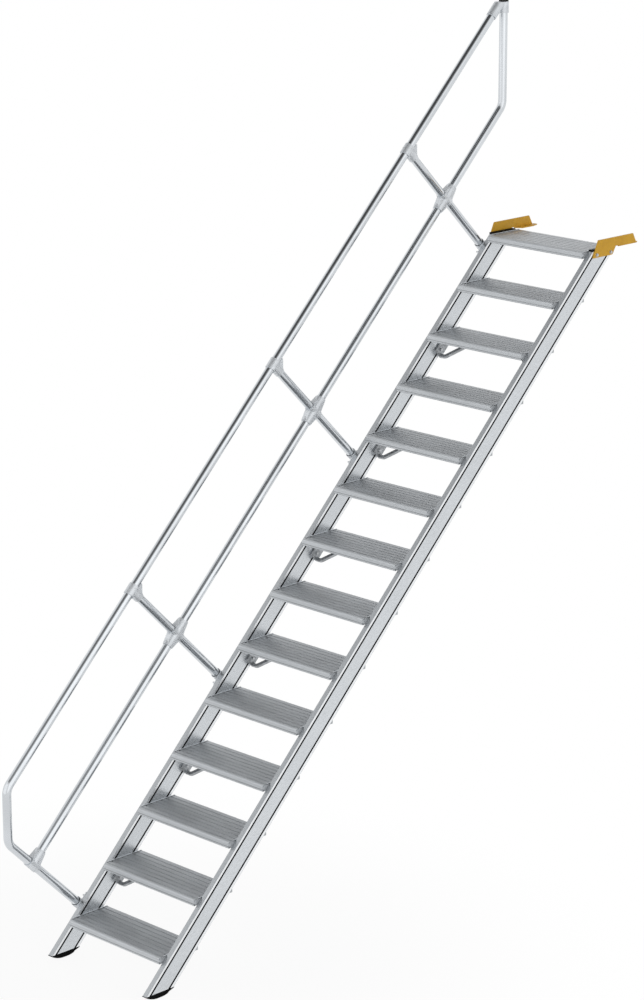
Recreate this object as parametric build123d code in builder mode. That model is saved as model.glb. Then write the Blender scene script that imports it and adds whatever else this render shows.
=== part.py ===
from build123d import *
import os
from math import atan2, cos, degrees, sin, sqrt, tan

# Industrial aluminium stair, all sizes in millimetres.
# X runs across the steps, Y runs up the flight on plan, Z is up.
# Places are first given from the foot of the pitch line, the line through all tread noses, with
# X = 0 on the inner face of the left stringer. Along the pitch line a place is called s, and square
# to it n, which is positive in front of and above the noses. The model's origin is then moved to
# the underside of the left landing flange.

# Flight
rise = 208.0
going = 208.0
step_count = 14
clear_width = 596.0
first_rise = 168.0

# Stringers, hollow extrusions with two grooves in each side
stringer_depth = 112.5
stringer_thickness = 25.0
stringer_wall = 2.5
stringer_setback = 26.0
stringer_corner = 2.0
groove_width = 4.5
groove_depth = 3.5
groove_wall = 1.5
front_groove = 16.8
rear_groove = 18.8

# Rubber feet under the level-cut lower ends, and caps on the level-cut tops
foot_height = 24.0
foot_flat = 30.0
foot_overhang = 1.5
foot_rim = 3.0
foot_heel = 30.0
foot_heel_step = 5.0
foot_heel_lift = 6.0
foot_heel_arc = 2.0
foot_toe_arc = 7.0
foot_toe_lead = 4.0
cap_height = 8.0
cap_overhang = 1.0
cap_chamfer = 2.0

# Treads, which fill the clear width
tread_depth = 225.0
nose_overhang = 6.0
nose_height = 32.0
nose_depth = 40.0
nose_radius = 9.0
nose_lower_radius = 3.0
nose_strip = 15.0
nose_line_drop = 22.0
nose_line_size = 2.0
tread_wall = 2.5
rib_height = 2.0
rib_count = 7
rib_gap = 6.0
rear_box_depth = 62.0
rear_box_height = 30.0
web_height = 18.0
web_foot = 16.0
end_plate = 4.0
end_plate_inset = 1.0
end_lip_rise = 3.0
end_lip_start = 30.0

# Braces, bent bars with a leg that is bolted to the inner face of the stringer
brace_width = 15.0
brace_depth = 14.0
brace_front = 3.0
brace_leg = 8.0
brace_leg_depth = 56.0
brace_drop = 24.0
brace_run = 35.0
brace_reach = 130.0
brace_climb = 122.5
brace_bend = 25.0
brace_spare = 1.3

# Landing brackets, a plate on the stringer's outer face with a flange at its foot
bracket_plate = 5.0
bracket_below_top = 30.0
bracket_above_top = 51.0
bracket_lean = 38.0
bracket_end_lean = 23.0
bracket_start = 3.0
bracket_end = 309.0
bracket_neck = 161.0
bracket_bolt_first = 24.0
bracket_bolt_spacing = 100.0
bracket_bolt_drop = 16.5
bracket_bolt_radius = 4.5
bracket_lobe_radius = 14.0
bracket_lobe_fillet = 12.0
flange_lift = 3.0
flange_start = 181.0
flange_length = 142.0
flange_reach = 30.0
flange_slant = 26.0
flange_taper = 40.0
flange_taper_width = 11.0
flange_hole_spacing = 70.0
flange_hole_radius = 5.5

# Handrail tubes, all in one plane beside the left stringer
rail_diameter = 40.0
rail_wall = 2.0
rail_clearance = 8.0
rail_height = 687.0
knee_height = 322.0
strut_bracket_gap = 11.243
strut_spacing = 1238.3
lowest_strut = 386.8
bend_radius = 70.0
bend_tail = 6.0
lower_vertical = -86.6
post_setback = 22.8
post_rise = 1096.0

# Cast handrail fittings, bored to slip over the tubes
fit_gap = 0.2
fitting_wall = 4.0
tee_length = 52.0
tee_branch = 60.0
tee_collar = 32.0
gusset_thickness = 30.0
cross_half_length = 70.0
cross_branch = 35.0
bottom_tee_run = 63.0
bottom_tee_branch = 72.0
elbow_rail_sleeve = 125.0
elbow_post_sleeve = 54.0
post_cap_height = 6.0
post_cap_inset = 1.0
post_cap_chamfer = 2.0

# Handrail shoes, bolted to the outer face of the left stringer
shoe_plate = 5.0
shoe_web_width = 30.0
shoe_web = 16.0
shoe_reach = 62.0
shoe_bolt = 42.0
shoe_top = -24.0
shoe_foot = -92.0
shoe_floor = 4.0
shoe_corner = 12.0

# Values that follow
pitch = atan2(rise, going)
step_length = sqrt(rise ** 2 + going ** 2)
total_rise = rise * step_count
floor_level = rise - first_rise
foot_cut = floor_level + foot_height
stringer_front = -stringer_setback
stringer_rear = stringer_front - stringer_depth
rail_x = -stringer_thickness - rail_clearance - rail_diameter / 2
tube_radius = rail_diameter / 2
bore_radius = tube_radius + fit_gap
sleeve_radius = bore_radius + fitting_wall
bend_reach = bend_radius * tan(pitch / 2) + bend_tail
post_top = total_rise + post_rise


def to_yz(s, n):
    """Y and Z of the point s up the pitch line and n square to it."""
    return (s * cos(pitch) - n * sin(pitch), s * sin(pitch) + n * cos(pitch))


def y_at_height(n, z):
    """Y where the line parallel to the pitch line, n off it, reaches height z."""
    return (z - n / cos(pitch)) / tan(pitch)


def s_at_height(n, z):
    """Place along the pitch line where the line n off it reaches height z."""
    return (z - n * cos(pitch)) / sin(pitch)


flight_top = y_at_height(stringer_front, total_rise)
landing_level = total_rise + flange_lift
flange_front = flight_top + flange_start
origin_x = -10.0
origin_y = flange_front + flange_length / 2
origin_z = landing_level


def side(x):
    """Upright plane across X at x, drawn in Y and Z."""
    return Plane(origin=(x - origin_x, -origin_y, -origin_z), x_dir=(0, 1, 0), z_dir=(1, 0, 0))


def slope(x, s=0.0, n=0.0):
    """Upright plane across X at x, drawn in s and n from the given place."""
    y, z = to_yz(s, n)
    return Plane(
        origin=(x - origin_x, y - origin_y, z - origin_z),
        x_dir=(0, cos(pitch), sin(pitch)),
        z_dir=(1, 0, 0),
    )


def level(z):
    """Horizontal plane at height z, drawn in X and Y."""
    return Plane(origin=(-origin_x, -origin_y, z - origin_z), x_dir=(1, 0, 0), z_dir=(0, 0, 1))


def section(s):
    """Plane square to the pitch line at s, drawn in X and n, facing down the slope."""
    y, z = to_yz(s, 0.0)
    return Plane(
        origin=(-origin_x, y - origin_y, z - origin_z),
        x_dir=(1, 0, 0),
        z_dir=(0, -cos(pitch), -sin(pitch)),
    )


def deck(n):
    """Plane parallel to the pitch line, n off it, drawn in X and s, facing to the front."""
    y, z = to_yz(0.0, n)
    return Plane(
        origin=(-origin_x, y - origin_y, z - origin_z),
        x_dir=(1, 0, 0),
        z_dir=(0, -sin(pitch), cos(pitch)),
    )


def save(part, name):
    part.label = name
    export_step(part, f"parts/{name}.step")


os.makedirs("parts", exist_ok=True)


# Stringers, cut level at both ends

def make_stringer(inner_x, outer_x):
    middle_x = (inner_x + outer_x) / 2
    middle_n = (stringer_front + stringer_rear) / 2
    top_s = s_at_height(stringer_rear, total_rise) + stringer_thickness
    bottom_s = s_at_height(stringer_front, foot_cut) - stringer_thickness
    front_place = stringer_front - front_groove
    rear_place = stringer_rear + rear_groove
    groove_x = (stringer_thickness - groove_depth) / 2
    groove_box = groove_width + 2 * groove_wall
    inside = stringer_thickness - 2 * stringer_wall
    waist = stringer_thickness - 2 * groove_depth - 2 * groove_wall
    with BuildPart() as stringer:
        with BuildSketch(section(top_s)):
            with Locations((middle_x, middle_n)):
                RectangleRounded(stringer_thickness, stringer_depth, stringer_corner)
                Rectangle(inside, stringer_depth - 2 * stringer_wall, mode=Mode.SUBTRACT)
            for place in (front_place, rear_place):
                with Locations((middle_x, place)):
                    Rectangle(stringer_thickness, groove_box)
                    Rectangle(waist, groove_box, mode=Mode.SUBTRACT)
                with Locations((middle_x - groove_x, place), (middle_x + groove_x, place)):
                    Rectangle(groove_depth, groove_width, mode=Mode.SUBTRACT)
        extrude(amount=top_s - bottom_s)
        split(bisect_by=level(total_rise), keep=Keep.BOTTOM)
        split(bisect_by=level(foot_cut), keep=Keep.TOP)
    return stringer.part


save(make_stringer(0.0, -stringer_thickness), "left_stringer")
save(make_stringer(clear_width, clear_width + stringer_thickness), "right_stringer")


# Rubber feet with a rocker sole, and the caps on the cut tops

def make_foot(low_x):
    toe = y_at_height(stringer_front, foot_cut) - foot_overhang
    heel = y_at_height(stringer_rear, foot_cut) + foot_overhang
    flat_start = (toe + heel) / 2 - foot_flat / 2
    flat_end = flat_start + foot_flat
    step_start = heel - foot_heel - foot_heel_step
    step_level = floor_level + foot_heel_lift
    rim = foot_cut - foot_rim
    with BuildPart() as foot:
        with BuildSketch(side(low_x)):
            with BuildLine():
                Polyline((toe, rim), (toe, foot_cut), (heel, foot_cut), (heel, rim))
                Line((heel, rim), (heel - foot_heel, step_level + foot_heel_step))
                Line((heel - foot_heel, step_level + foot_heel_step), (step_start, step_level))
                ThreePointArc(
                    (step_start, step_level),
                    ((step_start + flat_end) / 2, floor_level + foot_heel_arc),
                    (flat_end, floor_level),
                )
                Line((flat_end, floor_level), (flat_start, floor_level))
                ThreePointArc(
                    (flat_start, floor_level),
                    ((flat_start + toe) / 2 - foot_toe_lead, floor_level + foot_toe_arc),
                    (toe, rim),
                )
            make_face()
        extrude(amount=stringer_thickness)
    return foot.part


save(make_foot(-stringer_thickness), "left_foot")
save(make_foot(clear_width), "right_foot")

cap_front = flight_top - cap_overhang
cap_back = y_at_height(stringer_rear, total_rise) + cap_overhang
with BuildPart() as stringer_caps:
    with BuildSketch(level(total_rise)):
        with Locations(
            (-stringer_thickness / 2, (cap_front + cap_back) / 2),
            (clear_width + stringer_thickness / 2, (cap_front + cap_back) / 2),
        ):
            Rectangle(stringer_thickness, cap_back - cap_front)
    extrude(amount=cap_height)
    chamfer(stringer_caps.faces().group_by(Axis.Z)[-1].edges(), cap_chamfer)
save(stringer_caps.part, "stringer_caps")


# Treads, hollow ribbed extrusions closed by end plates with a raised lip

def make_tread(number):
    nose_y = going * number
    top_z = rise * number
    front = nose_y - nose_overhang
    back = front + tread_depth
    deck_top = top_z - rib_height
    deck_under = deck_top - tread_wall
    rib_pitch = (tread_depth - nose_strip) / rib_count
    rib_start = front + nose_strip + rib_gap
    box_front = back - rear_box_depth
    web_y = (front + nose_depth + box_front) / 2
    corner = (Align.MIN, Align.MIN)
    with BuildPart() as tread:
        with BuildSketch(side(end_plate)) as profile:
            with Locations((front, top_z - nose_height)):
                Rectangle(nose_depth, nose_height - rib_height, align=corner)
            with Locations((front, top_z - nose_height)):
                Rectangle(nose_strip, nose_height, align=corner)
            nose_edge = profile.vertices().group_by(Axis.X)[0]
            fillet(nose_edge.sort_by(Axis.Y)[-1], nose_radius)
            nose_edge = profile.vertices().group_by(Axis.X)[0]
            fillet(nose_edge.sort_by(Axis.Y)[0], nose_lower_radius)
            with Locations((front + tread_wall, top_z - nose_height + tread_wall)):
                Rectangle(
                    nose_depth - 2 * tread_wall,
                    nose_height - rib_height - 2 * tread_wall - nose_lower_radius,
                    align=corner,
                    mode=Mode.SUBTRACT,
                )
            with Locations((front, top_z - nose_line_drop)):
                Rectangle(nose_line_size, nose_line_size, mode=Mode.SUBTRACT)
            with Locations((front + nose_depth, deck_under)):
                Rectangle(tread_depth - nose_depth, tread_wall, align=corner)
            with Locations((box_front, top_z - rear_box_height)):
                Rectangle(rear_box_depth, rear_box_height - rib_height, align=corner)
            with Locations((box_front + tread_wall, top_z - rear_box_height + tread_wall)):
                Rectangle(
                    rear_box_depth - 2 * tread_wall,
                    rear_box_height - rib_height - 2 * tread_wall,
                    align=corner,
                    mode=Mode.SUBTRACT,
                )
            with Locations((web_y, deck_under)):
                Rectangle(tread_wall, web_height, align=(Align.CENTER, Align.MAX))
            with Locations((web_y, deck_under - web_height)):
                Rectangle(web_foot, tread_wall, align=(Align.CENTER, Align.MIN))
            for index in range(rib_count):
                with Locations((rib_start + index * rib_pitch, deck_top)):
                    Rectangle(rib_pitch - rib_gap, rib_height, align=corner)
        extrude(amount=clear_width - 2 * end_plate)
        with BuildSketch(side(0.0), side(clear_width - end_plate)):
            with BuildLine():
                Polyline(
                    (front + nose_strip, deck_top),
                    (back, deck_top),
                    (back, top_z - rear_box_height),
                    (front + nose_radius, top_z - rear_box_height),
                    (front + end_plate_inset, top_z - nose_line_drop),
                    (front + end_plate_inset, top_z - nose_radius),
                    close=True,
                )
            make_face()
        extrude(amount=end_plate)
        with BuildSketch(side(0.0), side(clear_width - end_plate)):
            with BuildLine():
                Polyline(
                    (front + nose_strip, deck_top),
                    (front + end_lip_start, top_z + end_lip_rise),
                    (back, top_z + end_lip_rise),
                    (back, deck_top),
                    close=True,
                )
            make_face()
        extrude(amount=end_plate)
    return tread.part


for number in range(1, step_count + 1):
    save(make_tread(number), f"tread_{number:02d}")


# Braces, bent bars from the stringers' inner faces to the underside of every second tread

def make_brace_pair(number):
    middle_s = step_length * number - brace_drop
    turn = atan2(brace_climb, brace_reach)
    half = brace_width / 2
    mitre = half * tan(turn / 2)
    low_s = middle_s - half
    high_s = middle_s + half
    end_x = brace_run + brace_spare * brace_reach
    end_s = middle_s + brace_spare * brace_climb
    leg_top = middle_s + step_length / 2
    back = stringer_rear + brace_front - brace_depth
    with BuildPart() as braces:
        with BuildSketch(deck(back)) as bar:
            with BuildLine():
                Polyline(
                    (0, low_s),
                    (brace_run + mitre, low_s),
                    (end_x + half * sin(turn), end_s - half * cos(turn)),
                    (end_x - half * sin(turn), end_s + half * cos(turn)),
                    (brace_run - mitre, high_s),
                    (brace_leg, high_s),
                    (brace_leg, leg_top),
                    (0, leg_top),
                    close=True,
                )
            make_face()
            for place, radius in (
                ((brace_run + mitre, low_s, 0), brace_bend + half),
                ((brace_run - mitre, high_s, 0), brace_bend - half),
                ((brace_leg, high_s, 0), brace_leg),
            ):
                fillet(bar.vertices().sort_by_distance(place)[0], radius)
        extrude(amount=brace_depth)
        with BuildSketch(deck(back)):
            with Locations((0, low_s)):
                Rectangle(brace_leg, leg_top - low_s, align=(Align.MIN, Align.MIN))
        extrude(amount=brace_leg_depth)
        split(bisect_by=level(rise * number - rear_box_height), keep=Keep.BOTTOM)
        mirror(about=side(clear_width / 2))
    return braces.part


for number in range(2, step_count, 2):
    save(make_brace_pair(number), f"brace_pair_{number:02d}")


# Landing brackets, each a bolted plate with a flange that rests on the landing

def make_landing_bracket(face_x, outward):
    outer_x = face_x + outward * bracket_plate
    low_x = min(face_x, outer_x)
    start_y = flight_top - bracket_start
    end_y = flight_top + bracket_end
    neck_y = flight_top + bracket_neck
    first_bolt = flight_top + bracket_bolt_first
    last_bolt = first_bolt + bracket_bolt_spacing
    bolt_z = total_rise - bracket_bolt_drop
    lobe_y = last_bolt + bracket_lobe_radius
    foot_z = total_rise - bracket_below_top
    head_z = total_rise + bracket_above_top
    arm_z = landing_level + bracket_plate
    inner_x = face_x - outward * flange_reach
    taper_x = inner_x + outward * flange_taper_width
    flange_back = flange_front + flange_length
    hole_x = face_x - outward * (stringer_thickness + origin_x)
    with BuildPart() as bracket:
        with BuildSketch(side(low_x)) as plate:
            with BuildLine():
                Polyline(
                    (start_y, foot_z),
                    (start_y + bracket_lean, head_z),
                    (end_y - bracket_end_lean, head_z),
                    (end_y, arm_z),
                    (end_y, landing_level),
                    (flange_front, landing_level),
                    (flange_front, arm_z),
                    (neck_y, arm_z),
                    (lobe_y, foot_z),
                    close=True,
                )
            make_face()
            lobe_corner = plate.vertices().sort_by_distance((lobe_y, foot_z, 0))[0]
            fillet(lobe_corner, bracket_lobe_fillet)
            with Locations((first_bolt, bolt_z), (last_bolt, bolt_z)):
                Circle(bracket_bolt_radius, mode=Mode.SUBTRACT)
        extrude(amount=bracket_plate)
        with BuildSketch(level(landing_level)):
            with BuildLine():
                Polyline(
                    (outer_x, flange_front),
                    (face_x, flange_front),
                    (inner_x, flange_front + flange_slant),
                    (inner_x, flange_back - flange_taper),
                    (taper_x, flange_back),
                    (face_x, flange_back),
                    (outer_x, end_y),
                    close=True,
                )
            make_face()
            with Locations((hole_x, origin_y)):
                with GridLocations(0, flange_hole_spacing, 1, 2):
                    Circle(flange_hole_radius, mode=Mode.SUBTRACT)
        extrude(amount=bracket_plate)
    return bracket.part


save(make_landing_bracket(-stringer_thickness, -1), "left_landing_bracket")
save(make_landing_bracket(clear_width + stringer_thickness, 1), "right_landing_bracket")


# Handrail tubes

def ring():
    Circle(tube_radius)
    Circle(tube_radius - rail_wall, mode=Mode.SUBTRACT)


def make_sloped_tube(n, low_s, high_s):
    with BuildPart() as tube:
        with BuildSketch(section(high_s)):
            with Locations((rail_x, n)):
                ring()
        extrude(amount=high_s - low_s)
    return tube.part


post_place = y_at_height(rail_height, post_top) + post_setback
elbow_crossing = s_at_height(rail_height, post_place + rail_height / cos(pitch))
bracket_corner = (flight_top - bracket_start, total_rise - bracket_below_top)
bracket_low_s = bracket_corner[0] * cos(pitch) + bracket_corner[1] * sin(pitch)
first_strut = bracket_low_s - strut_bracket_gap - sleeve_radius
strut_places = [first_strut - strut_spacing * index for index in range(3)]
top_crossing = s_at_height(rail_height, lower_vertical + rail_height / cos(pitch))
knee_crossing = s_at_height(knee_height, post_place + knee_height / cos(pitch))
top_rail_end = top_crossing + bend_reach
top_rail_head = s_at_height(rail_height + tube_radius, post_top - 2 * fitting_wall)
knee_rail_foot = lowest_strut + sleeve_radius
knee_rail_head = knee_crossing - bend_reach

save(make_sloped_tube(rail_height, top_rail_end, top_rail_head), "top_rail")
save(make_sloped_tube(knee_height, knee_rail_foot, knee_rail_head), "knee_rail")


def bend_axis(y, z):
    """Line across the stair through Y and Z, about which a tube is bent."""
    return Axis((0, y - origin_y, z - origin_z), (1, 0, 0))


# The lower end of the top rail bends upright, and bends again onto the lowest strut
strut_crossing = lowest_strut - lower_vertical / sin(pitch)
lower_bend_end = strut_crossing - bend_reach
bend_turn = degrees(pitch)
upper_bend_start = top_rail_end - bend_tail
upper_bend_centre = to_yz(upper_bend_start, rail_height - bend_radius)
lower_bend_centre = to_yz(lowest_strut + bend_radius, lower_bend_end + bend_tail)

with BuildPart() as top_rail_bend:
    with BuildSketch(section(top_rail_end)):
        with Locations((rail_x, rail_height)):
            ring()
    extrude(amount=bend_tail)
    with BuildSketch(section(upper_bend_start)):
        with Locations((rail_x, rail_height)):
            ring()
    revolve(axis=bend_axis(*upper_bend_centre), revolution_arc=bend_turn)
    with BuildSketch(level(upper_bend_centre[1])):
        with Locations((rail_x, lower_vertical)):
            ring()
    extrude(amount=lower_bend_centre[1] - upper_bend_centre[1])
    with BuildSketch(level(lower_bend_centre[1])):
        with Locations((rail_x, lower_vertical)):
            ring()
    revolve(axis=bend_axis(*lower_bend_centre), revolution_arc=bend_turn)
    with BuildSketch(deck(lower_bend_end)):
        with Locations((rail_x, lowest_strut)):
            ring()
    extrude(amount=bend_tail)
save(top_rail_bend.part, "top_rail_bend")

# The upper end of the knee rail bends upright and is the post under the elbow
post_bend_start = knee_rail_head + bend_tail
post_bend_centre = to_yz(post_bend_start, knee_height + bend_radius)

with BuildPart() as top_post:
    with BuildSketch(section(knee_rail_head)):
        with Locations((rail_x, knee_height)):
            ring()
    extrude(amount=-bend_tail)
    with BuildSketch(section(post_bend_start)):
        with Locations((rail_x, knee_height)):
            ring()
    revolve(axis=bend_axis(*post_bend_centre), revolution_arc=bend_turn)
    with BuildSketch(level(post_bend_centre[1])):
        with Locations((rail_x, post_place)):
            ring()
    extrude(amount=post_top - fitting_wall - post_bend_centre[1])
save(top_post.part, "top_post")


def make_strut(place, spans):
    """Strut in the spans of n given, at one place along the pitch line."""
    with BuildPart() as strut:
        for low_n, high_n in spans:
            with BuildSketch(deck(low_n)):
                with Locations((rail_x, place)):
                    ring()
            extrude(amount=high_n - low_n)
    return strut.part


strut_foot = shoe_foot + shoe_floor
knee_low = knee_height - sleeve_radius
knee_high = knee_height + sleeve_radius
strut_head = rail_height - sleeve_radius
for index, place in enumerate(strut_places):
    spans = ((strut_foot, knee_low), (knee_high, strut_head))
    save(make_strut(place, spans), f"strut_{index + 1}")
save(make_strut(lowest_strut, ((strut_foot, lower_bend_end),)), "strut_4")


# Cast tees under the top rail, with a web on the upslope side

def make_rail_tee(place):
    tee_foot = rail_height - tee_branch
    half_gusset = gusset_thickness / 2
    web_foot_n = fitting_wall / 2 - tee_branch
    with BuildPart() as tee:
        with BuildSketch(section(place + tee_length / 2)):
            with Locations((rail_x, rail_height)):
                Circle(sleeve_radius)
        extrude(amount=tee_length)
        with BuildSketch(deck(tee_foot)):
            with Locations((rail_x, place)):
                Circle(sleeve_radius - 2 * fit_gap)
        extrude(amount=tee_branch)
        with BuildSketch(slope(rail_x - half_gusset, place, rail_height)):
            with BuildLine():
                Polyline(
                    (0, web_foot_n),
                    (half_gusset, web_foot_n),
                    (tee_length, -tube_radius),
                    (tee_length / 2 - fitting_wall, 0),
                    (fitting_wall - tee_length / 2, 0),
                    (-tee_collar, -tube_radius),
                    (-half_gusset, -tee_collar - fitting_wall),
                    close=True,
                )
            make_face()
        extrude(amount=gusset_thickness)
        with BuildSketch(section(place + tee_length)):
            with Locations((rail_x, rail_height)):
                Circle(bore_radius)
        extrude(amount=2 * tee_length, mode=Mode.SUBTRACT)
        with BuildSketch(deck(tee_foot)):
            with Locations((rail_x, place)):
                Circle(bore_radius)
        extrude(amount=strut_head - tee_foot, mode=Mode.SUBTRACT)
    return tee.part


for index, place in enumerate(strut_places):
    save(make_rail_tee(place), f"rail_tee_{index + 1}")


# Cast crosses where the knee rail passes the struts

def make_knee_cross(place):
    half_gusset = gusset_thickness / 2
    web_end = cross_half_length - fitting_wall
    web_side = cross_branch - fitting_wall / 2
    with BuildPart() as cross:
        with BuildSketch(section(place + cross_half_length)):
            with Locations((rail_x, knee_height)):
                Circle(sleeve_radius)
        extrude(amount=2 * cross_half_length)
        with BuildSketch(deck(knee_height - cross_branch)):
            with Locations((rail_x, place)):
                Circle(sleeve_radius - 2 * fit_gap)
        extrude(amount=2 * cross_branch)
        with BuildSketch(slope(rail_x - half_gusset, place, knee_height)):
            with BuildLine():
                Polyline(
                    (-web_end, tube_radius),
                    (-half_gusset, web_side),
                    (half_gusset, web_side),
                    (web_end, tube_radius),
                    (web_end, -tube_radius),
                    (half_gusset, -web_side),
                    (-half_gusset, -web_side),
                    (-web_end, -tube_radius),
                    close=True,
                )
            make_face()
        extrude(amount=gusset_thickness)
        with BuildSketch(section(place + cross_half_length)):
            with Locations((rail_x, knee_height)):
                Circle(bore_radius)
        extrude(amount=2 * cross_half_length, mode=Mode.SUBTRACT)
        for start in (knee_high, knee_low - cross_branch):
            with BuildSketch(deck(start)):
                with Locations((rail_x, place)):
                    Circle(bore_radius)
            extrude(amount=cross_branch, mode=Mode.SUBTRACT)
    return cross.part


for index, place in enumerate(strut_places):
    save(make_knee_cross(place), f"knee_cross_{index + 1}")


# Cast tee on the lowest strut, where the knee rail starts

half_run = bottom_tee_run / 2
web_end = half_run - fitting_wall / 2
with BuildPart() as bottom_tee:
    with BuildSketch(deck(knee_height - half_run)):
        with Locations((rail_x, lowest_strut)):
            Circle(sleeve_radius)
    extrude(amount=bottom_tee_run)
    with BuildSketch(section(lowest_strut + bottom_tee_branch)):
        with Locations((rail_x, knee_height)):
            Circle(sleeve_radius - 2 * fit_gap)
    extrude(amount=bottom_tee_branch)
    with BuildSketch(slope(rail_x - gusset_thickness / 2, lowest_strut, knee_height)):
        with BuildLine():
            Polyline(
                (0, web_end),
                (tube_radius + fitting_wall, web_end),
                (bottom_tee_branch - fitting_wall, tube_radius),
                (bottom_tee_branch - fitting_wall, -tube_radius),
                (tube_radius + fitting_wall, -web_end),
                (0, -web_end),
                close=True,
            )
        make_face()
    extrude(amount=gusset_thickness)
    with BuildSketch(deck(knee_height - half_run)):
        with Locations((rail_x, lowest_strut)):
            Circle(bore_radius)
    extrude(amount=bottom_tee_run, mode=Mode.SUBTRACT)
    with BuildSketch(section(lowest_strut + bottom_tee_branch)):
        with Locations((rail_x, knee_height)):
            Circle(bore_radius)
    extrude(amount=bottom_tee_branch - sleeve_radius, mode=Mode.SUBTRACT)
save(bottom_tee.part, "bottom_tee")


# Cast elbow at the head of the post, cut level, and the cap on the post

with BuildPart() as top_elbow:
    with BuildSketch(section(elbow_crossing)):
        with Locations((rail_x, rail_height)):
            Circle(sleeve_radius)
    extrude(amount=elbow_rail_sleeve)
    split(bisect_by=level(post_top), keep=Keep.BOTTOM)
    with BuildSketch(level(post_top - elbow_post_sleeve)):
        with Locations((rail_x, post_place)):
            Circle(sleeve_radius)
    extrude(amount=elbow_post_sleeve)
    with BuildSketch(section(top_rail_head)):
        with Locations((rail_x, rail_height)):
            Circle(bore_radius)
    extrude(amount=2 * elbow_rail_sleeve, mode=Mode.SUBTRACT)
    with BuildSketch(level(post_top - fitting_wall)):
        with Locations((rail_x, post_place)):
            Circle(bore_radius)
    extrude(amount=-2 * elbow_post_sleeve, mode=Mode.SUBTRACT)
save(top_elbow.part, "top_elbow")

with BuildPart() as post_cap:
    with BuildSketch(level(post_top)):
        with Locations((rail_x, post_place)):
            Circle(sleeve_radius - post_cap_inset)
    extrude(amount=post_cap_height)
    chamfer(post_cap.faces().sort_by(Axis.Z)[-1].edges(), post_cap_chamfer)
save(post_cap.part, "post_cap")


# Shoes that hold the strut feet, a closed sleeve on a plate that is bolted to the stringer

def make_shoe(place, bolt_side):
    """Shoe at a strut; bolt_side is -1 where the plate reaches down the slope, 1 where it reaches up."""
    low = min(-sleeve_radius, bolt_side * shoe_reach)
    high = max(sleeve_radius, bolt_side * shoe_reach)
    with BuildPart() as shoe:
        with BuildSketch(deck(shoe_foot)):
            with Locations((rail_x, place)):
                Circle(sleeve_radius)
        extrude(amount=shoe_top - shoe_foot)
        with BuildSketch(slope(-stringer_thickness, place)):
            with Locations(((low + high) / 2, (shoe_foot + stringer_front) / 2)):
                RectangleRounded(high - low, stringer_front - shoe_foot, shoe_corner)
            with Locations((bolt_side * shoe_bolt, stringer_front - front_groove)):
                Circle(bracket_bolt_radius, mode=Mode.SUBTRACT)
        extrude(amount=-shoe_plate)
        with BuildSketch(slope(-stringer_thickness, place)):
            with Locations((0, (shoe_foot + stringer_front) / 2)):
                Rectangle(shoe_web_width, stringer_front - shoe_foot)
        extrude(amount=-shoe_web)
        with BuildSketch(deck(strut_foot)):
            with Locations((rail_x, place)):
                Circle(bore_radius)
        extrude(amount=shoe_top - shoe_foot, mode=Mode.SUBTRACT)
    return shoe.part


for index, place in enumerate(strut_places):
    save(make_shoe(place, -1), f"handrail_shoe_{index + 1}")
save(make_shoe(lowest_strut, 1), "handrail_shoe_4")
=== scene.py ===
import logging
import math
from dataclasses import dataclass
from enum import Enum
from typing import Iterable, Union

import bmesh
import bpy
from mathutils import Matrix, Vector


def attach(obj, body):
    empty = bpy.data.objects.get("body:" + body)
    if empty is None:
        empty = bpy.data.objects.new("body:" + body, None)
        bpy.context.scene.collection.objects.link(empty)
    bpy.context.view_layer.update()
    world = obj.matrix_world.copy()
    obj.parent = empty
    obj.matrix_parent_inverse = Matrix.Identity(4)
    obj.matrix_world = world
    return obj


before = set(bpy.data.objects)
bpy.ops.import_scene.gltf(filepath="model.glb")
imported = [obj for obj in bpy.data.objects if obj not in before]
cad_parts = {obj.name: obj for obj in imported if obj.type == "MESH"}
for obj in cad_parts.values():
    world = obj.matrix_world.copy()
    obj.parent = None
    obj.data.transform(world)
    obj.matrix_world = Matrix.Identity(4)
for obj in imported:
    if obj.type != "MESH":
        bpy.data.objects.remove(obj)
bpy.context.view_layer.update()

MM = 0.001
LOG = logging.getLogger("stair")

Value = Union["Sock", float]
Colour = tuple[float, float, float]
Place = tuple[float, float, float]
Scale = tuple[float, float, float]
Span = tuple[float, float]
Owner = Union[bpy.types.Material, bpy.types.World]


@dataclass(frozen=True)
class StairAxes:
    """Turns the stair's own sizes in millimetres into places in the model, in metres.

    A place is given across the steps (x), up the pitch line (s) and square to it (n), or across,
    forward and up (x, y, z). Both start at the foot of the line through the tread noses.
    """

    origin_x: float = -10.0
    origin_y: float = 2912.0 + 26.0 * math.sqrt(2.0) + 181.0 + 71.0
    origin_z: float = 2915.0
    pitch: float = math.radians(45.0)

    def level(self, x: float, y: float, z: float) -> Vector:
        """Place given across, forward and up."""
        return Vector((x - self.origin_x, y - self.origin_y, z - self.origin_z)) * MM

    def sloped(self, x: float, s: float, n: float) -> Vector:
        """Place given across, up the slope and square to the slope."""
        cos, sin = math.cos(self.pitch), math.sin(self.pitch)
        return self.level(x, s * cos - n * sin, s * sin + n * cos)

    def slope_normal(self) -> Vector:
        """Direction square to the slope, to the front and up."""
        return Vector((0.0, -math.sin(self.pitch), math.cos(self.pitch)))


AXES = StairAxes()


class Contrast(Enum):
    """Noise values between which a finish goes from its first look to its second."""

    WIDE = (0.2, 0.8)
    EVEN = (0.3, 0.7)
    SHARP = (0.35, 0.65)
    PATCHY = (0.4, 0.7)


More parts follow.
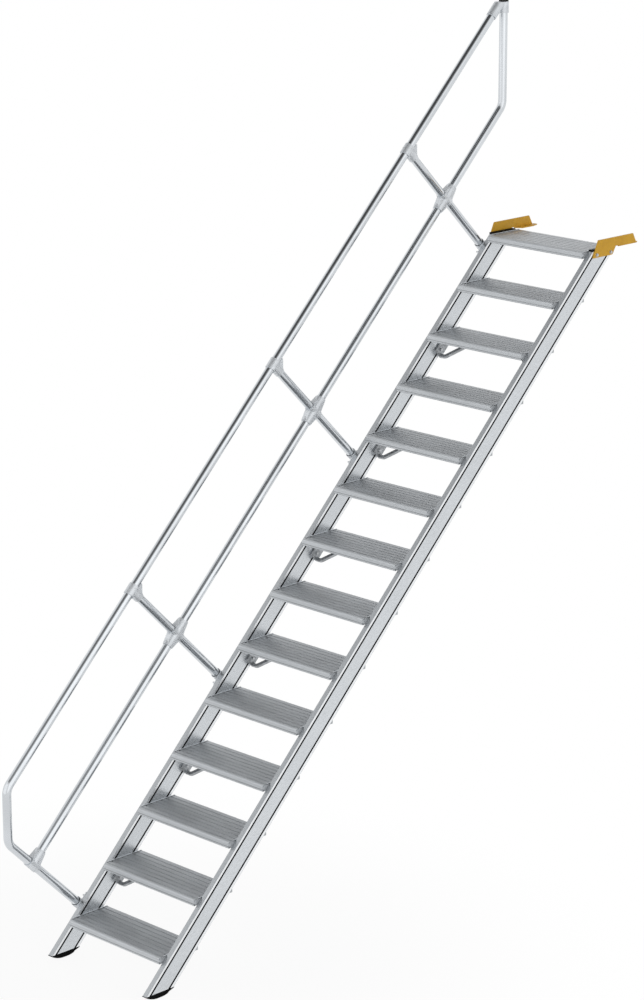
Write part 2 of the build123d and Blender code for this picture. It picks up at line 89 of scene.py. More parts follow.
class Sock:
    """A shader socket that can be used in a Python expression."""

    def __init__(self, shader: "Shader", out: bpy.types.NodeSocket) -> None:
        """Wraps one output socket of a shader's node."""
        self.shader = shader
        self.out = out

    def _math(self, operation: str, first: Value, second: Value = 0.0) -> "Sock":
        """Adds one Math node on two values."""
        return self.shader.add("ShaderNodeMath", {"operation": operation}, {0: first, 1: second})

    def __add__(self, other: Value) -> "Sock":
        """Sum."""
        return self._math("ADD", self, other)

    def __radd__(self, other: Value) -> "Sock":
        """Sum, with the number first."""
        return self._math("ADD", other, self)

    def __sub__(self, other: Value) -> "Sock":
        """Difference."""
        return self._math("SUBTRACT", self, other)

    def __rsub__(self, other: Value) -> "Sock":
        """Difference, with the number first."""
        return self._math("SUBTRACT", other, self)

    def __mul__(self, other: Value) -> "Sock":
        """Product."""
        return self._math("MULTIPLY", self, other)

    def __rmul__(self, other: Value) -> "Sock":
        """Product, with the number first."""
        return self._math("MULTIPLY", other, self)

    def __truediv__(self, other: Value) -> "Sock":
        """Quotient."""
        return self._math("DIVIDE", self, other)

    def absolute(self) -> "Sock":
        """Size without its sign."""
        return self._math("ABSOLUTE", self)

    def at_most(self, other: Value) -> "Sock":
        """The smaller of two values."""
        return self._math("MINIMUM", self, other)

    def ramp(self, low: float, high: float, start: float = 0.0, end: float = 1.0) -> "Sock":
        """Smooth step from start to end while the value goes from low to high.

        Args:
            low: Value where the step begins.
            high: Value where the step ends.
            start: Result below low.
            end: Result above high.

        Returns:
            The stepped value.
        """
        return self.shader.add(
            "ShaderNodeMapRange",
            {"interpolation_type": "SMOOTHSTEP"},
            {"Value": self, "From Min": low, "From Max": high, "To Min": start, "To Max": end},
        )

    def spread(self, contrast: Contrast, start: float = 0.0, end: float = 1.0) -> "Sock":
        """Smooth step from start to end across the middle of a noise."""
        return self.ramp(*contrast.value, start, end)

    def weighed(self, other: "Sock", share: float) -> "Sock":
        """Mean of two values, in which this one has the given share."""
        return self * share + other * (1.0 - share)


class Shader:
    """The node tree of a material or of the world, with one method that makes every node."""

    def __init__(self, owner: Owner, coordinates: str = "Object") -> None:
        """Empties the owner's node tree.

        Args:
            owner: The material or world that gets the nodes.
            coordinates: Output of the coordinate node that places are read from.
        """
        owner.use_nodes = True
        self.owner = owner
        self.tree = owner.node_tree
        self.tree.nodes.clear()
        self.place = self.add("ShaderNodeTexCoord", {}, {}, coordinates)

    def add(
        self,
        kind: str,
        settings: dict[str, object],
        inputs: dict[int | str, object],
        output: int | str | None = 0,
    ) -> Sock | None:
        """Makes a node, sets it up and links or fills its sockets.

        Args:
            kind: The node's type.
            settings: Settings of the node.
            inputs: Values, colours or sockets by input name or number.
            output: The output that is handed back, or None where the node has none.

        Returns:
            The chosen output as a socket to go on with.
        """
        node = self.tree.nodes.new(kind)
        for key, value in settings.items():
            setattr(node, key, value)
        for key, value in inputs.items():
            if isinstance(value, Sock):
                self.tree.links.new(value.out, node.inputs[key])
            elif isinstance(value, tuple) and node.inputs[key].type == "RGBA":
                node.inputs[key].default_value = (*value[:3], 1.0)
            else:
                node.inputs[key].default_value = value
        return None if output is None else Sock(self, node.outputs[output])

    def along(self, direction: Iterable[float]) -> Sock:
        """Distance of the shaded point along a direction, in metres."""
        return self.add(
            "ShaderNodeVectorMath",
            {"operation": "DOT_PRODUCT"},
            {0: self.place, 1: tuple(direction)},
            "Value",
        )

    def stretched(self, scale: Iterable[float], turn: float = 0.0) -> Sock:
        """Object coordinates turned about X and scaled along each axis."""
        turned = self.add(
            "ShaderNodeMapping",
            {"vector_type": "POINT"},
            {"Vector": self.place, "Rotation": (turn, 0.0, 0.0)},
        )
        return self.add(
            "ShaderNodeVectorMath", {"operation": "MULTIPLY"}, {0: turned, 1: tuple(scale)}
        )

    def noise(self, scale: float, detail: float = 2.0, vector: Sock | None = None) -> Sock:
        """Noise between 0 and 1.

        Args:
            scale: Waves per metre, or per unit of the vector given.
            detail: Octaves.
            vector: Coordinates, when not the object's own.

        Returns:
            The noise value.
        """
        return self.add(
            "ShaderNodeTexNoise",
            {"noise_dimensions": "3D"},
            {"Vector": vector or self.place, "Scale": scale, "Detail": detail, "Roughness": 0.6},
            0,
        )

    def blend(self, amount: Value, first: object, second: object) -> Sock:
        """Colour between two colours, by an amount from 0 to 1."""
        return self.add(
            "ShaderNodeMix", {"data_type": "RGBA"}, {0: amount, 6: first, 7: second}, 2
        )

    def bump(self, height: Sock, depth: float, strength: float) -> Sock:
        """Normal bent by a height, with the height's depth in millimetres."""
        return self.add(
            "ShaderNodeBump", {}, {"Height": height, "Distance": depth * MM, "Strength": strength}
        )

    def finish(
        self, colour: object, metallic: float, roughness: Value, normal: Sock, **fixed: float
    ) -> bpy.types.Material:
        """Ends the material in a Principled shader.

        Args:
            colour: Base colour.
            metallic: Metallic.
            roughness: Roughness.
            normal: Bent normal.
            fixed: Other sockets by name, with underscores for spaces, that are plain numbers.

        Returns:
            The finished material.
        """
        inputs: dict[int | str, object] = {
            "Base Color": colour,
            "Metallic": metallic,
            "Roughness": roughness,
            "Normal": normal,
        }
        inputs.update({key.replace("_", " "): value for key, value in fixed.items()})
        surface = self.add("ShaderNodeBsdfPrincipled", {}, inputs)
        self.add_output(surface)
        return self.owner

    def add_output(self, surface: Sock) -> None:
        """Joins a surface or the sky to the tree's output."""
        is_world = isinstance(self.owner, bpy.types.World)
        kind = "ShaderNodeOutputWorld" if is_world else "ShaderNodeOutputMaterial"
        self.add(kind, {}, {"Surface": surface}, None)

    def mixed(self, amount: Value, first: Sock, second: Sock) -> Sock:
        """Surface between two surfaces, by an amount from 0 to 1."""
        return self.add("ShaderNodeMixShader", {}, {0: amount, 1: first, 2: second})

    def glow(self, strength: float) -> Sock:
        """White light of a plain strength, from a surface or from the sky."""
        kind = "ShaderNodeBackground" if isinstance(self.owner, bpy.types.World) else "ShaderNodeEmission"
        return self.add(kind, {}, {"Color": (1.0, 1.0, 1.0), "Strength": strength})

    def is_ray(self, kind: str) -> Sock:
        """1 for a ray of that kind, and 0 for the others."""
        return self.add("ShaderNodeLightPath", {}, {}, kind)


def paint(name: str) -> Shader:
    """Starts a new material of that name."""
    return Shader(bpy.data.materials.new(name))


def grey(level: float, tint: float = 0.04) -> Colour:
    """Grey of a brightness, a little blue where tint is above 0."""
    return (level * (1.0 - tint), level, level * (1.0 + tint))


@dataclass(frozen=True)
class StringerFinish:
    """Drawn aluminium, with a fine slanting hatch between the two grooves and bright outside them;
    painted shade darkens the front and rear faces, and near-black painted shade fills the grooves and
    their lips.
    """

    band: Colour = grey(0.73)
    hatch: Colour = grey(0.60)
    strip: Colour = grey(0.94, 0.02)
    streak: Colour = grey(0.84, 0.02)
    # painted shade: the front and rear faces are coloured darker for the light that reaches them less
    edge: Colour = grey(0.50)
    # painted shade: near-black in the grooves and a little beside them, for the shade in these recesses
    groove_shade: Colour = grey(0.006)
    front_groove: float = -42.8
    rear_groove: float = -119.7
    groove_half: float = 4.9
    groove_core: float = 0.7
    groove_fade: float = 0.3
    strip_fade: float = 1.0
    middle_n: float = -82.25
    half_depth: float = 56.25
    edge_start: float = 3.2
    edge_full: float = 1.8
    hatch_scale: Scale = (300.0, 70.0, 260.0)
    hatch_turn: float = math.radians(-15.0)
    drawn_scale: Scale = (800.0, 20.0, 800.0)
    cloud_scale: float = 2.4
    cloud_share: float = 0.25
    metallic: float = 0.82
    roughness: Span = (0.24, 0.32)
    groove_roughness: float = 0.4
    relief: float = 0.06
    relief_strength: float = 0.5
    drawn_relief: float = 0.1

    def material(self) -> bpy.types.Material:
        """Builds the stringer's material."""
        shader = paint("stringer_aluminium")
        offset = AXES.slope_normal().dot(AXES.sloped(0.0, 0.0, 0.0))
        n = (shader.along(AXES.slope_normal()) - offset) / MM
        from_front = (n - self.front_groove).absolute()
        from_rear = (n - self.rear_groove).absolute()
        band_middle = (self.front_groove + self.rear_groove) / 2
        half_band = (self.front_groove - self.rear_groove) / 2
        from_band = (n - band_middle).absolute()
        outside = from_band.ramp(half_band - self.strip_fade, half_band + self.strip_fade)
        from_middle = (n - self.middle_n).absolute()
        hatched = shader.noise(1.0, 2.0, shader.stretched(self.hatch_scale, self.hatch_turn))
        drawn = shader.noise(1.0, 2.0, shader.stretched(self.drawn_scale, -AXES.pitch))
        cloud = shader.noise(self.cloud_scale)
        tone = hatched.spread(Contrast.EVEN, 0.0, 1.0 - self.cloud_share)
        tone = tone + cloud.spread(Contrast.EVEN, 0.0, self.cloud_share)
        band = shader.blend(tone, self.hatch, self.band)
        strip = shader.blend(drawn.spread(Contrast.SHARP), self.streak, self.strip)
        colour = shader.blend(outside, band, strip)
        # painted shade on the front and rear faces
        edge_shade_mask = from_middle.ramp(self.half_depth - self.edge_start, self.half_depth - self.edge_full)
        colour = shader.blend(edge_shade_mask, colour, self.edge)
        # painted shade in and beside the grooves
        in_groove = from_front.at_most(from_rear).ramp(
            self.groove_half - self.groove_core, self.groove_half + self.groove_fade, 1.0, 0.0
        )
        colour = shader.blend(in_groove, colour, self.groove_shade)
        rough = hatched.spread(Contrast.WIDE, *self.roughness) + in_groove * self.groove_roughness
        height = hatched * (1.0 - outside) + drawn * self.drawn_relief
        normal = shader.bump(height, self.relief, self.relief_strength)
        return shader.finish(colour, self.metallic, rough, normal)


@dataclass(frozen=True)
class TreadFinish:
    """Ribbed tread extrusion, matt on top and brighter on the nose, with a painted highlight along the
    top of each end lip and painted shade in the rib slots, in the line across the nose and in the gap
    beside each lip.
    """

    top: Colour = grey(0.55)
    streak: Colour = grey(0.46)
    worn: Colour = grey(0.60)
    # painted shade: dark colour for the floors of the rib slots, the line across the nose and the gap
    # beside each end lip
    slot_shade: Colour = grey(0.12)
    nose: Colour = grey(0.60)
    nose_streak: Colour = grey(0.53)
    # painted highlight: pale colour along the top edge of each end lip
    lip_highlight: Colour = grey(0.88)
    clear_width: float = 596.0
    going: float = 208.0
    rib_floor: Span = (-1.9, -1.2)
    rib_shade: float = 0.12
    nose_end: Span = (2.0, 7.0)
    nose_line: float = 23.0
    nose_line_half: Span = (1.0, 1.8)
    nose_line_shade: float = 0.5
    lip_width: float = 4.0
    lip_fade: float = 0.3
    lip_top: Span = (0.5, 1.5)
    joint_width: float = 3.0
    joint_fade: float = 0.5
    joint_start: Span = (12.0, 20.0)
    joint_floor: Span = (-5.0, -2.5)
    joint_shade: float = 0.8
    drawn_scale: Scale = (4.0, 110.0, 160.0)
    fine_scale: Scale = (40.0, 1100.0, 1100.0)
    cloud_scale: float = 6.0
    worn_share: float = 0.4
    metallic: float = 0.6
    roughness: Span = (0.36, 0.48)
    relief: float = 0.15
    relief_strength: float = 0.3
    drawn_relief: float = 0.7

    def material(self, number: int) -> bpy.types.Material:
        """Builds the material of one tread.

        Args:
            number: The tread's place, counted from the floor.

        Returns:
            The material.
        """
        shader = paint(f"tread_aluminium_{number:02d}")
        nose_edge = AXES.level(0.0, self.going * number, self.going * number)
        x = (shader.along((1.0, 0.0, 0.0)) - nose_edge.x) / MM
        y = (shader.along((0.0, 1.0, 0.0)) - nose_edge.y) / MM
        z = (shader.along((0.0, 0.0, 1.0)) - nose_edge.z) / MM
        from_end = self.clear_width / 2 - (x - self.clear_width / 2).absolute()
        drawn = shader.noise(1.0, 3.0, shader.stretched(self.drawn_scale))
        fine = shader.noise(1.0, 1.0, shader.stretched(self.fine_scale))
        cloud = shader.noise(self.cloud_scale)
        top = shader.blend(drawn.spread(Contrast.SHARP), self.streak, self.top)
        top = shader.blend(cloud.spread(Contrast.PATCHY, 0.0, self.worn_share), top, self.worn)
        # painted shade in the floors of the rib slots
        top = shader.blend(z.ramp(*self.rib_floor, self.rib_shade, 0.0), top, self.slot_shade)
        nose = shader.blend(drawn.spread(Contrast.EVEN), self.nose_streak, self.nose)
        line = (z + self.nose_line).absolute().ramp(*self.nose_line_half, self.nose_line_shade, 0.0)
        nose = shader.blend(line, nose, self.slot_shade)
        colour = shader.blend(y.ramp(*self.nose_end, 1.0, 0.0), top, nose)
        joint_end = self.lip_width + self.joint_width
        # painted shade in the gap beside each end lip
        joint_shade_mask = from_end.ramp(joint_end - self.joint_fade, joint_end + self.joint_fade, 1.0, 0.0)
        joint_shade_mask = joint_shade_mask * y.ramp(*self.joint_start) * z.ramp(*self.joint_floor, 0.0, self.joint_shade)
        colour = shader.blend(joint_shade_mask, colour, self.slot_shade)
        # painted highlight on the top edge of the end lips
        lip_highlight = from_end.ramp(self.lip_width, self.lip_width + self.lip_fade, 1.0, 0.0)
        colour = shader.blend(lip_highlight * z.ramp(*self.lip_top), colour, self.lip_highlight)
        rough = drawn.spread(Contrast.WIDE, *self.roughness)
        height = drawn.weighed(fine, self.drawn_relief)
        normal = shader.bump(height, self.relief, self.relief_strength)
        return shader.finish(colour, self.metallic, rough, normal)


class Run(Enum):
    """Turn about the cross axis, in degrees, that lays a tube's grain along its length."""

    RAIL = -45.0
    STRUT = 45.0
    POST = 90.0


@dataclass(frozen=True)
class TubeFinish:
    """Bright drawn tube with a fine lengthwise grain."""

    run: Run
    bright: Colour = grey(0.70)
    dull: Colour = grey(0.62)
    grain_scale: Scale = (500.0, 6.0, 500.0)
    cloud_scale: float = 4.0
    metallic: float = 0.95
    roughness: Span = (0.10, 0.16)
    relief: float = 0.02
    relief_strength: float = 0.1

    def material(self) -> bpy.types.Material:
        """Builds the tube material."""
        shader = paint(f"tube_aluminium_{self.run.name.lower()}")
        turn = math.radians(self.run.value)
        grain = shader.noise(1.0, 2.0, shader.stretched(self.grain_scale, turn))
        cloud = shader.noise(self.cloud_scale)
        colour = shader.blend(cloud.spread(Contrast.EVEN), self.dull, self.bright)
        rough = grain.spread(Contrast.WIDE, *self.roughness)
        normal = shader.bump(grain, self.relief, self.relief_strength)
        return shader.finish(colour, self.metallic, rough, normal)


@dataclass(frozen=True)
class CastFinish:
    """Cast aluminium with a smooth tumbled skin."""

    skin: Colour = grey(0.72)
    hollow: Colour = grey(0.64)
    grain_scale: float = 700.0
    cloud_scale: float = 22.0
    metallic: float = 0.6
    roughness: Span = (0.36, 0.42)
    relief: float = 0.02
    relief_strength: float = 0.1
    grain_relief: float = 0.1

    def material(self) -> bpy.types.Material:
        """Builds the casting material."""
        shader = paint("cast_aluminium")
        grain = shader.noise(self.grain_scale)
        cloud = shader.noise(self.cloud_scale)
        colour = shader.blend(cloud.spread(Contrast.SHARP), self.hollow, self.skin)
        rough = grain.spread(Contrast.EVEN, *self.roughness)
        height = grain.weighed(cloud, self.grain_relief)
        normal = shader.bump(height, self.relief, self.relief_strength)
        return shader.finish(colour, self.metallic, rough, normal)


@dataclass(frozen=True)
class BraceFinish:
    """Dull rolled bar."""

    dull: Colour = grey(0.34)
    light: Colour = grey(0.50)
    mottle_scale: float = 60.0
    fine_scale: float = 700.0
    metallic: float = 0.6
    roughness: Span = (0.36, 0.50)
    relief: float = 0.1
    relief_strength: float = 0.5
    fine_relief: float = 0.5

    def material(self) -> bpy.types.Material:
        """Builds the bar's material."""
        shader = paint("brace_aluminium")
        mottle = shader.noise(self.mottle_scale, 3.0)
        fine = shader.noise(self.fine_scale)
        colour = shader.blend(mottle.spread(Contrast.SHARP), self.dull, self.light)
        rough = fine.spread(Contrast.WIDE, *self.roughness)
        height = fine.weighed(mottle, self.fine_relief)
        normal = shader.bump(height, self.relief, self.relief_strength)
        return shader.finish(colour, self.metallic, rough, normal)


@dataclass(frozen=True)
class PaintFinish:
    """Orange powder coat with its fine orange-peel skin."""

    bright: Colour = (0.63, 0.35, 0.024)
    shade: Colour = (0.56, 0.3, 0.02)
    peel_scale: float = 420.0
    cloud_scale: float = 18.0
    roughness: Span = (0.40, 0.50)
    relief: float = 0.1
    relief_strength: float = 0.5
    specular: float = 0.3

    def material(self) -> bpy.types.Material:
        """Builds the powder coat."""
        shader = paint("orange_paint")
        peel = shader.noise(self.peel_scale)
        cloud = shader.noise(self.cloud_scale)
        colour = shader.blend(cloud.spread(Contrast.EVEN), self.shade, self.bright)
        rough = peel.spread(Contrast.EVEN, *self.roughness)
        normal = shader.bump(peel, self.relief, self.relief_strength)
        return shader.finish(colour, 0.0, rough, normal, Specular_IOR_Level=self.specular)


@dataclass(frozen=True)
class BlackFinish:
    """Black rubber or moulded plastic, and the black of the marks and rings that stand in for shade."""

    name: str
    base: Colour = grey(0.003)
    dust: Colour = grey(0.006)
    roughness: float = 0.6
    spread: float = 0.08
    grain_scale: float = 600.0
    cloud_scale: float = 25.0
    relief: float = 0.1
    relief_strength: float = 0.6
    specular: float = 0.04

    def material(self) -> bpy.types.Material:
        """Builds the black moulded material."""
        shader = paint(self.name)
        grain = shader.noise(self.grain_scale)
        cloud = shader.noise(self.cloud_scale)
        colour = shader.blend(cloud.spread(Contrast.PATCHY), self.base, self.dust)
        low, high = self.roughness - self.spread, self.roughness + self.spread
        rough = grain.spread(Contrast.EVEN, low, high)
        normal = shader.bump(grain, self.relief, self.relief_strength)
        return shader.finish(colour, 0.0, rough, normal, Specular_IOR_Level=self.specular)


@dataclass(frozen=True)
class ZincFinish:
    """Zinc-plated steel of bolts, nuts and washers."""

    bright: Colour = grey(0.62)
    dull: Colour = grey(0.44, 0.01)
    grain_scale: float = 900.0
    cloud_scale: float = 120.0
    metallic: float = 0.9
    roughness: Span = (0.22, 0.36)
    relief: float = 0.1
    relief_strength: float = 0.5

    def material(self) -> bpy.types.Material:
        """Builds the plated steel."""
        shader = paint("zinc_steel")
        grain = shader.noise(self.grain_scale)
        cloud = shader.noise(self.cloud_scale)
        colour = shader.blend(cloud.spread(Contrast.EVEN), self.dull, self.bright)
        rough = grain.spread(Contrast.WIDE, *self.roughness)
        normal = shader.bump(grain, self.relief, self.relief_strength)
        return shader.finish(colour, self.metallic, rough, normal)


class Slot(Enum):
    """Material slot names of the record; no piece in this script takes its finish from them."""

    CAST = "cast_aluminium"
    TREAD = "tread_aluminium"
    BRACE = "brace_aluminium"
    PLASTIC = "black_plastic"


def dress(node: str, material: bpy.types.Material) -> None:
    """Gives a CAD node its finish.

    Args:
        node: The node's name.
        material: The finish.
    """
    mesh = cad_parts[node].data
    mesh.materials.clear()
    mesh.materials.append(material)
    LOG.info("dressed %s", node)


def piece_from(
    mesh: bmesh.types.BMesh, name: str, material: bpy.types.Material
) -> bpy.types.Object:
    """Makes a finished bmesh into a piece that rides on the stair.

    Args:
        mesh: The built shape, in metres in the model's axes.
        name: The piece's name.
        material: Its finish.

    Returns:
        The new object.
    """
    data = bpy.data.meshes.new(name)
    mesh.to_mesh(data)
    mesh.free()
    data.materials.append(material)
    piece = bpy.data.objects.new(name, data)
    bpy.context.scene.collection.objects.link(piece)
    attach(piece, "root")
    LOG.info("made %s with %d faces", name, len(data.polygons))
    return piece


def standing(place: Vector, axis: Vector) -> Matrix:
    """Frame at a place, in metres, whose Z runs along an axis."""
    return Matrix.Translation(place) @ axis.to_track_quat("Z", "Y").to_matrix().to_4x4()


def edges_between(
    mesh: bmesh.types.BMesh, verts: Iterable[bmesh.types.BMVert]
) -> list[bmesh.types.BMEdge]:
    """Edges of a mesh that have both ends among some vertices."""
    chosen = set(verts)
    return [edge for edge in mesh.edges if all(vert in chosen for vert in edge.verts)]


def raised(height: float) -> Matrix:
    """Shift along Z by a height in millimetres."""
    return Matrix.Translation((0.0, 0.0, height * MM))


@dataclass(frozen=True)
class Prism:
    """Closed prism with its upper edges rounded.

    Sizes are in millimetres, and the rounding is a share of the height.
    """

    sides: int
    radius: float
    height: float
    rounding: float
    rounding_steps: int

    def add_to(self, mesh: bmesh.types.BMesh, stand: Matrix) -> None:
        """Adds the prism, with its lower face at the origin of a frame.

        Args:
            mesh: Where the prism goes.
            stand: Frame with Z along the prism.
        """
        middle = stand @ raised(self.height / 2)
        prism = bmesh.ops.create_cone(
            mesh,
            cap_ends=True,
            segments=self.sides,
            radius1=self.radius * MM,
            radius2=self.radius * MM,
            depth=self.height * MM,
            matrix=middle,
        )
        to_middle = middle.inverted()
        upper = [vert for vert in prism["verts"] if (to_middle @ vert.co).z > 0.0]
        bmesh.ops.bevel(
            mesh,
            geom=edges_between(mesh, upper),
            offset=self.height * self.rounding * MM,
            segments=self.rounding_steps,
            profile=0.5,
            affect="EDGES",
            material=-1,
        )


@dataclass(frozen=True)
class HexBolt:
    """Hexagon bolt head on a round washer, with a tapered stud end if it has one.

    Sizes are in millimetres, and the roundings are shares of the height of what they round.
    """

    across: float = 13.0
    head: float = 5.5
    head_rounding: float = 0.18
    washer: float = 8.5
    washer_thickness: float = 1.4
    washer_rounding: float = 0.25
    washer_sides: int = 24
    stud: float = 0.0
    stud_radius: float = 4.0
    stud_taper: float = 0.8
    stud_sides: int = 20

    def add_to(self, mesh: bmesh.types.BMesh, place: Vector, axis: Vector, turn: float = 0.0) -> None:
        """Adds a bolt that stands on a surface.

        Args:
            mesh: Where the bolt goes.
            place: Point on the surface, in metres.
            axis: Outward direction of the surface.
            turn: Turn of the head about its axis.
        """
        stand = standing(place, axis)
        washer = Prism(
            self.washer_sides, self.washer, self.washer_thickness, self.washer_rounding, 1
        )
        washer.add_to(mesh, stand)
        head = Prism(6, self.across / math.sqrt(3.0), self.head, self.head_rounding, 2)
        head.add_to(mesh, stand @ raised(self.washer_thickness) @ Matrix.Rotation(turn, 4, "Z"))
        if self.stud > 0.0:
            bmesh.ops.create_cone(
                mesh,
                cap_ends=True,
                segments=self.stud_sides,
                radius1=self.stud_radius * MM,
                radius2=self.stud_radius * self.stud_taper * MM,
                depth=self.stud * MM,
                matrix=stand @ raised(self.washer_thickness + self.head + self.stud / 2),
            )


@dataclass(frozen=True)
class Flight:
    """Stringers, treads, feet, caps and braces."""

    zinc: bpy.types.Material
    steps: int = 14
    rise: float = 208.0
    width: float = 596.0
    leg: float = 8.0
    leg_bolt_drop: float = 3.0
    leg_bolt_n: float = -119.7
    leg_bolt_turn: float = 0.2
    # painted shadow: a flat black mark near each tread end stands in for a shadow spot
    shadow_spot_mark: HexBolt = HexBolt(across=3.5, head=0.4, washer=3.0, washer_thickness=0.3)
    shadow_spot_in: float = 12.0
    shadow_spot_back: float = 36.0

    def dress(self) -> None:
        """Gives every node of the flight its finish."""
        stringer = StringerFinish().material()
        for node in ("left_stringer", "right_stringer"):
            dress(node, stringer)
        for number in range(1, self.steps + 1):
            dress(f"tread_{number:02d}", TreadFinish().material(number))
        brace = BraceFinish().material()
        for number in range(2, self.steps, 2):
            dress(f"brace_pair_{number:02d}", brace)
        rubber = BlackFinish("black_rubber", roughness=0.72).material()
        for node in ("left_foot", "right_foot"):
            dress(node, rubber)
        dress("stringer_caps", BlackFinish("black_plastic", roughness=0.45).material())

    def build(self) -> None:
        """Adds the bolts of the braces' legs and, at the tread ends, small flat black marks that stand in
        for the shadow spot near the front end of each end lip.
        """
        bolts = bmesh.new()
        for number in range(2, self.steps, 2):
            s = self.rise * math.sqrt(2.0) * number - self.leg_bolt_drop
            for x, inward in ((self.leg, 1.0), (self.width - self.leg, -1.0)):
                place = AXES.sloped(x, s, self.leg_bolt_n)
                turn = self.leg_bolt_turn * number
                HexBolt().add_to(bolts, place, Vector((inward, 0.0, 0.0)), turn)
        piece_from(bolts, "brace_bolts", self.zinc)
        # flat black marks that stand in for the shadow spots at the tread ends
        shadow_spot_marks = bmesh.new()
        for number in range(1, self.steps + 1):
            level = self.rise * number
            for x in (self.shadow_spot_in, self.width - self.shadow_spot_in):
                place = AXES.level(x, level + self.shadow_spot_back, level)
                self.shadow_spot_mark.add_to(shadow_spot_marks, place, Vector((0.0, 0.0, 1.0)))
        piece_from(shadow_spot_marks, "tread_end_shadow_spots", BlackFinish("shadow_spot_black").material())


@dataclass(frozen=True)
class LandingBrackets:
    """Orange brackets at the head of the flight."""

    zinc: bpy.types.Material
    plate_x: Span = (-30.0, 626.0)
    bolt_y: Span = (2972.8, 3072.8)
    bolt_z: float = 2895.5
    bolt_turn: float = 0.3

    def dress(self) -> None:
        """Paints both brackets."""
        orange = PaintFinish().material()
        for node in ("left_landing_bracket", "right_landing_bracket"):
            dress(node, orange)

    def build(self) -> None:
        """Adds the bolts through the bracket plates."""
        mesh = bmesh.new()
        for x in self.plate_x:
            out = Vector((math.copysign(1.0, x), 0.0, 0.0))
            for y in self.bolt_y:
                HexBolt().add_to(mesh, AXES.level(x, y, self.bolt_z), out, self.bolt_turn)
        piece_from(mesh, "bracket_bolts", self.zinc)


@dataclass(frozen=True)
class Handrail:
    """Tubes, castings and shoes of the handrail."""

    zinc: bpy.types.Material
    struts: tuple[float, ...] = (4085.4, 2847.1, 1608.8, 386.8)
    shoe_x: float = -30.0
    shoe_bolt: HexBolt = HexBolt(head=8.0, stud=13.0, stud_radius=5.0)
    shoe_bolt_n: float = -42.8
    shoe_bolt_offset: float = 42.0
    shoe_bolt_turn: float = 0.1
    mouth_n: float = -24.0
    tube_x: float = -53.0
    tube_radius: float = 20.0
    # painted shade: a black ring in each shoe mouth stands in for the shade in the gap round the strut
    shade_ring_radius: float = 22.0
    shade_ring_sides: int = 10
    shade_ring_steps: int = 40

    def dress(self) -> None:
        """Gives every handrail node its finish."""
        tubes = {run: TubeFinish(run).material() for run in Run}
        for node in ("top_rail", "knee_rail"):
            dress(node, tubes[Run.RAIL])
        for node in ("top_rail_bend", "top_post"):
            dress(node, tubes[Run.POST])
        for number in range(1, 5):
            dress(f"strut_{number}", tubes[Run.STRUT])
        cast = CastFinish().material()
        for node in ("bottom_tee", "top_elbow"):
            dress(node, cast)
        for number in range(1, 4):
            dress(f"rail_tee_{number}", cast)
            dress(f"knee_cross_{number}", cast)
        for number in range(1, 5):
            dress(f"handrail_shoe_{number}", cast)
        dress("post_cap", BlackFinish("cap_plastic", roughness=0.45).material())

    def add_mouth_shade_ring(self, mesh: bmesh.types.BMesh, s: float) -> None:
        """Adds the black ring in the mouth of a shoe, which stands in for the shade in the gap round the
        strut.

        Args:
            mesh: Where the ring goes.
            s: Place of the strut up the slope.
        """
        axis = AXES.slope_normal()
        stand = standing(AXES.sloped(self.tube_x, s, self.mouth_n), axis)
        half_wall = (self.shade_ring_radius - self.tube_radius) / 2 * MM
        middle = self.tube_radius * MM + half_wall
        upright = Matrix.Rotation(math.pi / 2, 4, "X")
        profile = bmesh.ops.create_circle(
            mesh,
            cap_ends=False,
            segments=self.shade_ring_sides,
            radius=half_wall,
            matrix=stand @ Matrix.Translation((middle, 0.0, 0.0)) @ upright,
        )
        bmesh.ops.spin(
            mesh,
            geom=profile["verts"] + edges_between(mesh, profile["verts"]),
            cent=stand.translation,
            axis=axis,
            angle=2.0 * math.pi,
            steps=self.shade_ring_steps,
            use_merge=True,
            use_duplicate=False,
        )
        LOG.info("added the ring of the shoe at %.0f mm", s)

    def build(self) -> None:
        """Adds the bolts of the shoes and, in their mouths, the black rings that stand in for the shade
        in the gap round each strut.
        """
        bolts = bmesh.new()
        shade_rings = bmesh.new()
        for number, s in enumerate(self.struts):
            side = 1.0 if number == len(self.struts) - 1 else -1.0
            place = AXES.sloped(self.shoe_x, s + side * self.shoe_bolt_offset, self.shoe_bolt_n)
            turn = self.shoe_bolt_turn * number
            self.shoe_bolt.add_to(bolts, place, Vector((-1.0, 0.0, 0.0)), turn)
            self.add_mouth_shade_ring(shade_rings, s)
        piece_from(bolts, "shoe_bolts", self.zinc)
        piece_from(shade_rings, "shoe_mouth_shade_rings", BlackFinish("mouth_shade_black").material())


@dataclass(frozen=True)
class Lamp:
    """Soft square lamp, given by its offset from what it lights, its side and its power."""

    name: str
    offset: Place
    side: float
    power: float

    def add(self, target: Vector) -> None:
        """Places the lamp and turns it to its target, in metres."""
        data = bpy.data.lights.new(self.name, "AREA")
        data.size = self.side
        data.energy = self.power
        lamp = bpy.data.objects.new(self.name, data)
        lamp.location = target + Vector(self.offset)
        lamp.rotation_euler = (target - lamp.location).to_track_quat("-Z", "Y").to_euler()
        bpy.context.scene.collection.objects.link(lamp)


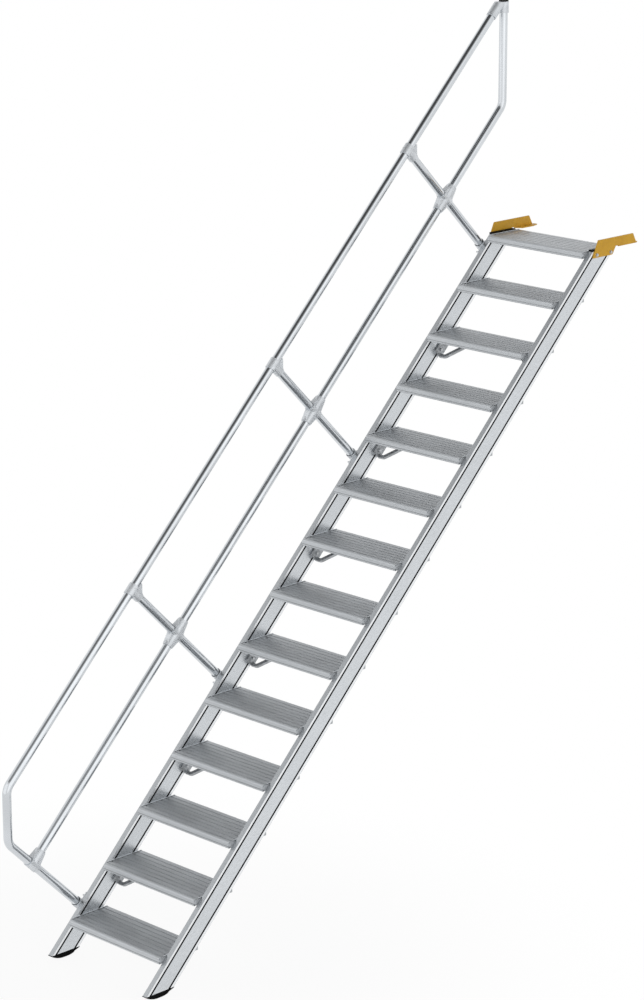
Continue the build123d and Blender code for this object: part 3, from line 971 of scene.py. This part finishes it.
@dataclass(frozen=True)
class Studio:
    """Pale floor, soft light and the photograph's camera."""

    floor_z: float = 40.0
    floor_half: float = 60.0
    floor_grey: float = 0.86
    shadow_centre: Span = (298.0, 300.0)
    shadow_reach: Span = (0.6, 2.4)
    shadow_white: float = 0.92
    lit_middle: Place = (298.0, 1500.0, 1500.0)
    lamps: tuple[Lamp, ...] = (
        Lamp("key_right", (8.0, -2.0, 2.0), 10.0, 120.0),
        Lamp("front_left", (-2.0, -8.0, 1.5), 10.0, 90.0),
    )
    camera: Place = (10171.181, -8381.161, 5808.832)
    yaw: float = 0.785465
    down: float = 0.270353
    roll: float = -0.001046
    focal: float = 3.226911
    sensor: float = 36.0
    clip_end: float = 500.0
    wall: float = 1.0
    ceiling: float = 0.05
    ceiling_edge: Span = (0.60, 0.90)

    def floor(self) -> None:
        """Lays the floor, white to the camera except where the stair shades it."""
        shader = paint("studio_floor")
        centre = AXES.level(*self.shadow_centre, self.floor_z)
        distance = shader.add(
            "ShaderNodeVectorMath",
            {"operation": "DISTANCE"},
            {0: shader.place, 1: tuple(centre)},
            "Value",
        )
        lit = shader.add("ShaderNodeBsdfDiffuse", {}, {"Color": grey(self.floor_grey, 0.0)})
        seen = shader.is_ray("Is Camera Ray") + shader.is_ray("Is Glossy Ray")
        amount = seen.at_most(1.0) * distance.ramp(*self.shadow_reach, self.shadow_white, 1.0)
        shader.add_output(shader.mixed(amount, lit, shader.glow(1.0)))
        mesh = bmesh.new()
        bmesh.ops.create_grid(
            mesh,
            x_segments=1,
            y_segments=1,
            size=self.floor_half,
            matrix=Matrix.Translation((0.0, 0.0, AXES.level(0.0, 0.0, self.floor_z).z)),
        )
        data = bpy.data.meshes.new("studio_floor")
        mesh.to_mesh(data)
        mesh.free()
        data.materials.append(shader.owner)
        floor = bpy.data.objects.new("studio_floor", data)
        bpy.context.scene.collection.objects.link(floor)

    def world(self) -> None:
        """Lights the stair from all round, less from overhead, with white behind it."""
        bpy.context.scene.world = bpy.data.worlds.new("studio")
        shader = Shader(bpy.context.scene.world, "Generated")
        overhead = shader.along((0.0, 0.0, 1.0)).ramp(*self.ceiling_edge)
        dome = shader.mixed(overhead, shader.glow(self.wall), shader.glow(self.ceiling))
        shader.add_output(shader.mixed(shader.is_ray("Is Camera Ray"), dome, shader.glow(1.0)))

    def set_camera(self) -> None:
        """Puts the camera where the photograph was taken from."""
        data = bpy.data.cameras.new("camera")
        data.sensor_width = self.sensor
        data.lens = self.focal * self.sensor
        data.clip_end = self.clip_end
        camera = bpy.data.objects.new("camera", data)
        turn = (
            Matrix.Rotation(self.yaw, 4, "Z")
            @ Matrix.Rotation(math.pi / 2 - self.down, 4, "X")
            @ Matrix.Rotation(self.roll, 4, "Z")
        )
        camera.matrix_world = Matrix.Translation(AXES.level(*self.camera)) @ turn
        bpy.context.scene.collection.objects.link(camera)
        bpy.context.scene.camera = camera

    def build(self) -> None:
        """Sets up floor, light, camera and plain colour handling."""
        bpy.context.scene.view_settings.view_transform = "Standard"
        self.floor()
        self.world()
        for lamp in self.lamps:
            lamp.add(AXES.level(*self.lit_middle))
        self.set_camera()


def main() -> None:
    """Dresses the stair piece by piece and sets up the studio."""
    logging.basicConfig(level=logging.INFO, format="%(name)s: %(message)s")
    zinc = ZincFinish().material()
    for part in (Flight(zinc), LandingBrackets(zinc), Handrail(zinc)):
        part.dress()
        part.build()
        LOG.info("finished %s", type(part).__name__)
    Studio().build()


if __name__ == "__main__":
    main()
